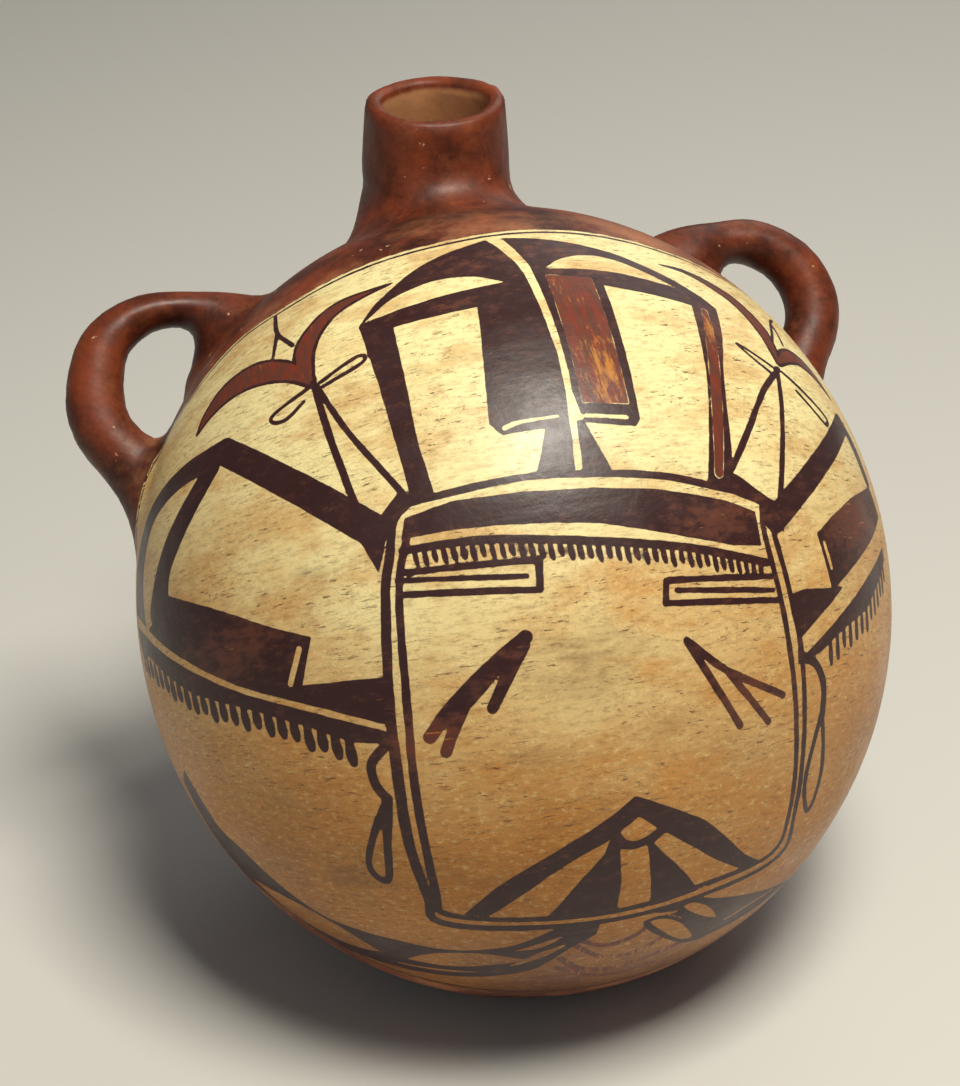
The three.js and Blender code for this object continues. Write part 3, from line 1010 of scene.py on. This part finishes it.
def cream_ground(tree, place, sheet):
    """The front's cream clay: deeper toward the foot, partly its own tone and partly painted shade,
    darker still lower down and under the body with painted shade; stained, flecked, crazed and
    smoked.
    """
    height = put(tree, "ShaderNodeSeparateXYZ", Vector=place).outputs[2]
    drift = maths(tree, "SUBTRACT", noise(tree, place, *PLAIN_NOISES["drift"]), 0.5)
    level = maths(tree, "ADD", height, times(tree, drift, LEVEL_DRIFT))
    # Painted shade by height: deeper cream toward the foot, partly its own tone, then darker with
    # painted shade lower down
    cream = mixed(tree, ramp(tree, level, *DEEP_AND_SHADE_LEVELS), CREAM_PALE, CREAM_DEEP)
    cream = mixed(tree, ramp(tree, level, *PAINTED_SHADE_LEVELS), cream, CREAM_PAINTED_SHADE)
    for name, strength, colour in STAINS:
        cream = mixed(tree, times(tree, streaks(tree, sheet, name), strength), cream, colour)
    patches = streaks(tree, sheet, "patches")
    for name, strength, colour in MARKS:
        mark = times(tree, streaks(tree, sheet, name), patches)
        cream = mixed(tree, times(tree, mark, strength), cream, colour)
    crazed = times(tree, crazing(tree, sheet), patches)
    cream = mixed(tree, times(tree, crazed, CRAZING_STRENGTH), cream, CREAM_FLECK)
    haze = times(tree, attribute(tree, "smoke"), streaks(tree, sheet, "haze"))
    cream = mixed(tree, times(tree, haze, SMOKE_STRENGTH), cream, SMOKE)
    # Painted shade under the body, darkest at the bottom
    below = times(tree, ramp(tree, level, *BELOW_SHADE_LEVELS), BELOW_SHADE_STRENGTH)
    return mixed(tree, below, cream, BELOW_PAINTED_SHADE)


def red_slip(tree, place):
    """The slip of the back and the neck: mottled, dusty, chipped, and pale near the front, partly
    real rubbing and partly painted sheen.
    """
    slip = mixed(tree, specks(tree, place, "mottle"), SLIP_DARK, SLIP_RED)
    slip = mixed(tree, times(tree, specks(tree, place, "dust"), DUST_STRENGTH), slip, SLIP_DUST)
    # Pale near the frame line: partly real rubbing and partly painted sheen
    near_line = ramp(tree, attribute(tree, "slip"), *RUBBED_SHEEN_REACH)
    rubbed_sheen = times(tree, near_line, specks(tree, place, "rubbed_sheen"))
    slip = mixed(tree, times(tree, rubbed_sheen, RUBBED_SHEEN_STRENGTH), slip, SLIP_RUBBED_SHEEN)
    return mixed(tree, times(tree, specks(tree, place, "chips"), CHIP_STRENGTH), slip, SLIP_CHIP)


def paint_wear(tree, sheet, name):
    stretch, detail, places, gain = WEAR[name]
    return maths(tree, "ADD", noise(tree, sheet, 1, detail, WEAR_ROUGH, (*stretch, 1)),
                 times(tree, attribute(tree, places), gain))


def worn_to(tree, wear, limits, paint, colour):
    """The paint with another colour showing where it has worn."""
    starts, full, strength = limits
    return mixed(tree, times(tree, ramp(tree, wear, starts, full), strength), paint, colour)


def red_paint(tree, sheet):
    red = mixed(tree, streaks(tree, sheet, "red_brush"), PAINT_RED, PAINT_BROWN)
    return worn_to(tree, paint_wear(tree, sheet, "thin"), THIN_RED, red, CREAM_DEEP)


def dark_paint(tree, sheet):
    worn = paint_wear(tree, sheet, "worn")
    dark = worn_to(tree, worn, BROWN_WEAR, PAINT_DARK, PAINT_BROWN)
    dark = worn_to(tree, worn, RED_WEAR, dark, PAINT_RED)
    return worn_to(tree, paint_wear(tree, sheet, "scratched"), SCRATCHES, dark, CREAM_DEEP)


def clay_material():
    material = bpy.data.materials.new("painted_clay")
    material.use_nodes = True
    tree = material.node_tree
    tree.nodes.clear()
    place = put(tree, "ShaderNodeTexCoord").outputs["Object"]
    sheet = put(tree, "ShaderNodeCombineXYZ", X=attribute(tree, "chart_u"),
                Y=attribute(tree, "chart_v")).outputs[0]
    shake = maths(tree, "SUBTRACT", noise(tree, place, *PLAIN_NOISES["shake"]), 0.5)
    shake = times(tree, shake, EDGE_SHAKE)

    def cover(name, soft):
        """1 where the vertices' distance says that the paint lies, with a shaky edge."""
        return ramp(tree, maths(tree, "ADD", attribute(tree, name), shake), soft, -soft)

    dark = dark_paint(tree, sheet)
    slipped = cover("slip", SLIP_SOFT)
    inside = cover("inside", MOUTH_SOFT)
    colour = cream_ground(tree, place, sheet)
    colour = mixed(tree, cover("red", PAINT_SOFT), colour, red_paint(tree, sheet))
    colour = mixed(tree, cover("dark", PAINT_SOFT), colour, dark)
    colour = mixed(tree, slipped, colour, red_slip(tree, place))
    colour = mixed(tree, cover("frame_line", PAINT_SOFT), colour, dark)
    mouth = mixed(tree, noise(tree, place, *PLAIN_NOISES["mouth"]), MOUTH_DARK, MOUTH_CLAY)
    colour = mixed(tree, inside, colour, mouth)

    pits = noise(tree, place, *PLAIN_NOISES["pits"])
    tool_marks = noise(tree, sheet, 1, *TOOL_MARKS)
    relief = maths(tree, "ADD", times(tree, pits, PITS_SHARE), tool_marks)
    bump = put(tree, "ShaderNodeBump", Strength=RELIEF_STRENGTH, Distance=RELIEF_DEPTH,
               Height=relief)
    gloss = ramp(tree, noise(tree, place, *PLAIN_NOISES["gloss"]), *GLOSS_NOISE, *GLOSS)
    gloss = maths(tree, "ADD", gloss, times(tree, slipped, SLIP_DULLER))
    gloss = maths(tree, "ADD", gloss, times(tree, inside, MOUTH_DULLER))
    shader = put(tree, "ShaderNodeBsdfPrincipled", Roughness=gloss, Normal=bump.outputs[0])
    shader.inputs["Specular IOR Level"].default_value = SPECULAR
    tree.links.new(colour, shader.inputs["Base Color"])
    end = put(tree, "ShaderNodeOutputMaterial")
    tree.links.new(shader.outputs[0], end.inputs[0])
    return material


# %% [markdown]
# ## Hand-formed surface
# A node tree moves the skin a little in and out, as coiled and scraped clay does.

# %% Unevenness
UNEVEN = {"Depth": 0.0011, "Scale": 11.0, "Seed": 4.0}
UNEVEN_DETAIL = 1.5


def uneven_tree():
    tree = bpy.data.node_groups.new("hand_formed", "GeometryNodeTree")
    face = tree.interface
    face.new_socket("Geometry", in_out="INPUT", socket_type="NodeSocketGeometry")
    for name, value in UNEVEN.items():
        made = face.new_socket(name, in_out="INPUT", socket_type="NodeSocketFloat")
        made.default_value = value
    face.new_socket("Material", in_out="INPUT", socket_type="NodeSocketMaterial")
    face.new_socket("Geometry", in_out="OUTPUT", socket_type="NodeSocketGeometry")
    start = tree.nodes.new("NodeGroupInput").outputs
    pattern = put(tree, "ShaderNodeTexNoise", {"noise_dimensions": "4D"}, Scale=start["Scale"],
                  W=start["Seed"], Detail=UNEVEN_DETAIL)
    centred = maths(tree, "SUBTRACT", pattern.outputs[0], 0.5)
    push = put(tree, "ShaderNodeVectorMath", {"operation": "SCALE"},
               Vector=tree.nodes.new("GeometryNodeInputNormal").outputs[0],
               Scale=maths(tree, "MULTIPLY", centred, start["Depth"]))
    moved = put(tree, "GeometryNodeSetPosition", Geometry=start["Geometry"], Offset=push.outputs[0])
    real = put(tree, "GeometryNodeRealizeInstances", Geometry=moved.outputs[0])
    finish = put(tree, "GeometryNodeSetMaterial", Geometry=real.outputs[0],
                 Material=start["Material"])
    tree.links.new(finish.outputs[0], tree.nodes.new("NodeGroupOutput").inputs[0])
    return tree


def hand_formed(mesh, material, label):
    obj = added("scratch", mesh)
    modifier = obj.modifiers.new("hand_formed", "NODES")
    modifier.node_group = uneven_tree()
    for item in modifier.node_group.interface.items_tree:
        if item.name == "Material":
            modifier[item.identifier] = material
    return applied(obj, label)


# %% [markdown]
# ## The vessel

# %% Vessel
FINE_ROUNDS = 2
FINE_REACH = 0.4        # of a triangle's longest side, from a painted edge
FINE_DEPTH = 2.0        # triangles deeper than this below the oval body stay whole


def stand_level():
    """Height of the flat spot below the body's middle."""
    return -BODY_CENTRE[2]


def vessel_mesh(node):
    stand = stand_level()
    even = thinned(remeshed(node), stand)
    points, faces = mesh_arrays(even)
    p = points - BODY_CENTRE
    smeared = both(*[smear_distance(to_disc(p), side) for side in SMEARS]) < RELAX_REACH
    smeared &= inner_distance(p, stand) > BODY_WALL / 2
    p = relaxed(settle(p, stand), faces, smeared, stand)
    for _ in range(FINE_ROUNDS):
        fields = paint_fields(p, stand)
        nearest = both(*[np.abs(fields[name]) for name in ("dark", "red", "slip", "frame_line")])
        outside = oval_distance(to_disc(p), 0) > -FINE_DEPTH
        corner = nearest[faces]
        size = np.sqrt(((p[faces] - p[np.roll(faces, 1, 1)]) ** 2).sum(2)).max(1)
        chosen = (corner.min(1) < FINE_REACH * size) & outside[faces].all(1)
        p, faces = refine(p, faces, chosen)
        p = settle(p, stand, 1)
    fields = paint_fields(p, stand)
    mesh = bpy.data.meshes.new("vessel_fine")
    mesh.from_pydata((p + BODY_CENTRE) * MM, [], faces)
    for name, values in fields.items():
        layer = mesh.attributes.new(name, "FLOAT", "POINT")
        layer.data.foreach_set("value", values.astype(np.float32))
    mesh.shade_smooth()
    mesh.update()
    return mesh


clay = clay_material()
vessel_data = hand_formed(vessel_mesh(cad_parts["vessel"]), clay, "painted_vessel")
vessel = added("painted_vessel", vessel_data)
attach(vessel, "root")
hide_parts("vessel")

# %% [markdown]
# ## Floor, light and camera

# %% Stage
FLOOR_GREY = srgb(206, 204, 198)
FLOOR_SIZE = 6.0
FLOOR_ROUGHNESS = 0.7
LIT_POINT = (0.0, 0.0, 0.12)
LIGHTS = [
    # name, place in metres, size, power, colour
    ("key", (0.16, -0.4, 1.5), 0.55, 26, (1.0, 0.96, 0.85)),
    ("fill", (-1.4, -0.9, 0.9), 1.2, 1.2, (0.95, 0.97, 1.0)),
    ("back", (0.9, 1.1, 1.0), 1.0, 4, (1.0, 0.95, 0.88)),
]
SKY_COLOUR = (0.9, 0.92, 0.95, 1)
SKY_STRENGTH = 0.12
SENSOR = 36.0
LENS = 79.46
CAMERA_PLACE = Vector((-197.0, -629.5, 539.1)) * MM
CAMERA_TURN = math.radians(15.94)
CAMERA_TILT = math.radians(30.71)
CAMERA_ROLL = math.radians(0.19)


def make_floor():
    half = FLOOR_SIZE / 2
    mesh = bpy.data.meshes.new("floor")
    corners = [(-half, -half, 0), (half, -half, 0), (half, half, 0), (-half, half, 0)]
    mesh.from_pydata(corners, [], [(0, 1, 2, 3)])
    floor = added("floor", mesh)
    material = bpy.data.materials.new("floor")
    material.use_nodes = True
    shader = material.node_tree.nodes["Principled BSDF"]
    shader.inputs["Base Color"].default_value = FLOOR_GREY
    shader.inputs["Roughness"].default_value = FLOOR_ROUGHNESS
    mesh.materials.append(material)


def make_light(name, place, size, power, colour):
    data = bpy.data.lights.new(name, "AREA")
    data.size = size
    data.energy = power
    data.color = colour
    light = added(name, data)
    light.location = place
    aim = Vector(LIT_POINT) - Vector(place)
    light.rotation_euler = aim.to_track_quat("-Z", "Y").to_euler()


def make_camera():
    data = bpy.data.cameras.new("camera")
    data.sensor_width = SENSOR
    data.lens = LENS
    camera = added("camera", data)
    camera.location = CAMERA_PLACE
    turn = (Matrix.Rotation(-CAMERA_TURN, 3, "Z")
            @ Matrix.Rotation(math.pi / 2 - CAMERA_TILT, 3, "X")
            @ Matrix.Rotation(-CAMERA_ROLL, 3, "Z"))
    camera.rotation_euler = turn.to_euler()
    bpy.context.scene.camera = camera


def make_sky():
    world = bpy.data.worlds.new("studio")
    world.use_nodes = True
    background = world.node_tree.nodes["Background"]
    background.inputs[0].default_value = SKY_COLOUR
    background.inputs[1].default_value = SKY_STRENGTH
    bpy.context.scene.world = world


make_floor()
make_camera()
for light_row in LIGHTS:
    make_light(*light_row)
make_sky()
bpy.context.scene.view_settings.view_transform = "Standard"

bpy.context.view_layer.update()
